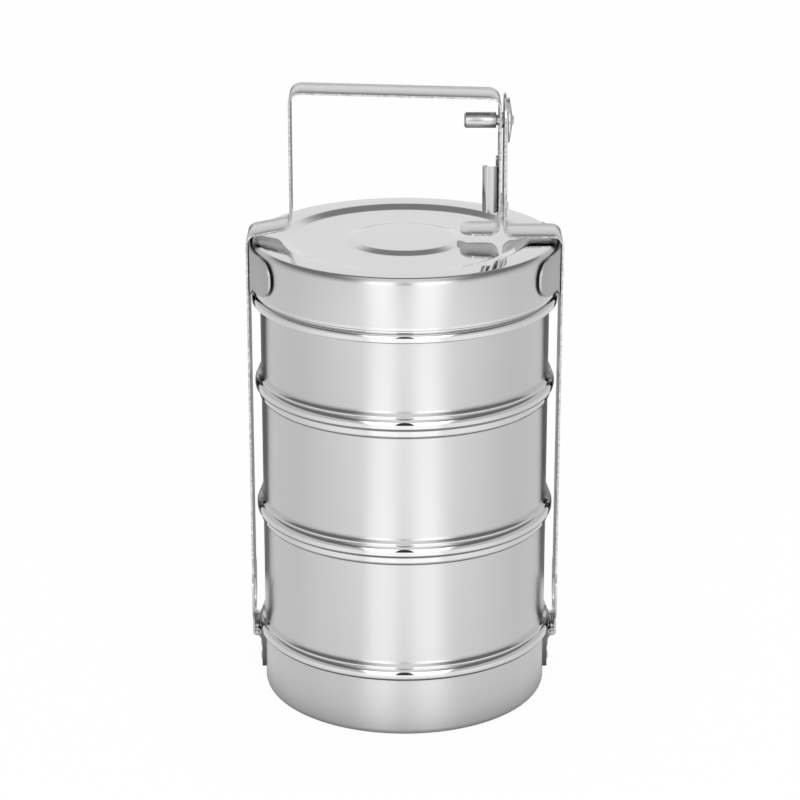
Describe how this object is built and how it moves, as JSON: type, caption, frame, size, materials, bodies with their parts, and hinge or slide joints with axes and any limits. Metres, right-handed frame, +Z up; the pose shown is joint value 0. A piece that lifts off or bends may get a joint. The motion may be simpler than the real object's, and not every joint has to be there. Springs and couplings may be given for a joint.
{
  "type": "tiffin carrier",
  "caption": "Round stacked steel food carrier: nesting bowls under a deep lid, held by two hinged strip frames with a strap handle, a stud catch and a slide bolt.",
  "frame": {"origin": "centre of the bottom bowl's base, on the surface that it stands on", "axes": "+Z up along the bowls' axis, +X towards the stud and catch frame, -Y towards the front"},
  "size_m": [0.1642, 0.1584, 0.326],
  "materials": {
    "bowl_steel": "satin, fine lines round the wall",
    "lid_steel": "polished top, satin skirt",
    "frame_steel": "polished faces, sheared edges",
    "plate_steel": "rolled",
    "pin_steel": "turned"
  },
  "bodies": {
    "root": {"bottom_bowl": "bowl_steel", "left_lug": "plate_steel", "right_lug": "plate_steel", "left_lug_rivets": "pin_steel", "right_lug_rivets": "pin_steel", "left_hinge_pin": "pin_steel", "right_hinge_pin": "pin_steel"},
    "handle": {"handle_frame": "frame_steel", "left_saddle": "plate_steel", "left_saddle_rivets": "pin_steel"},
    "catch": {"catch_frame": "frame_steel", "right_saddle": "plate_steel", "right_saddle_rivets": "pin_steel", "locking_stud": "pin_steel", "stud_washer": "pin_steel", "backing_leaf": "plate_steel", "leaf_rivet": "pin_steel"},
    "lower": {"lower_bowl": "bowl_steel"},
    "middle": {"middle_bowl": "bowl_steel"},
    "top": {"top_bowl": "bowl_steel"},
    "cover": {"lid": "lid_steel"},
    "bolt": {"slide_bolt": "plate_steel", "bolt_rivets": "pin_steel"}
  },
  "joints": [
    {"name": "handle_swing", "type": "hinge", "parent": "root", "child": "handle", "pos_m": [-0.0792, 0, 0.031], "axis": [0, -1, 0], "range_deg": [0, 90]},
    {"name": "catch_swing", "type": "hinge", "parent": "root", "child": "catch", "pos_m": [0.0792, 0, 0.031], "axis": [0, 1, 0], "range_deg": [0, 90]},
    {"name": "lower_lift", "type": "slide", "parent": "root", "child": "lower", "axis": [0, 0, 1], "range_m": [0, 0.0095]},
    {"name": "middle_lift", "type": "slide", "parent": "lower", "child": "middle", "axis": [0, 0, 1], "range_m": [0, 0.0095]},
    {"name": "top_lift", "type": "slide", "parent": "middle", "child": "top", "axis": [0, 0, 1], "range_m": [0, 0.0095]},
    {"name": "lid_lift", "type": "slide", "parent": "top", "child": "cover", "axis": [0, 0, 1], "range_m": [0, 0.0095]},
    {"name": "bolt_slide", "type": "slide", "parent": "handle", "child": "bolt", "axis": [0, 0, 1], "range_m": [0, 0.024]}
  ],
  "couplings": [
    {"joint": "catch_swing", "follows": "handle_swing", "ratio": 1},
    {"joint": "lower_lift", "follows": "handle_swing", "m_per_rad": 0.006},
    {"joint": "middle_lift", "follows": "handle_swing", "m_per_rad": 0.006},
    {"joint": "top_lift", "follows": "handle_swing", "m_per_rad": 0.006},
    {"joint": "lid_lift", "follows": "handle_swing", "m_per_rad": 0.006}
  ]
}
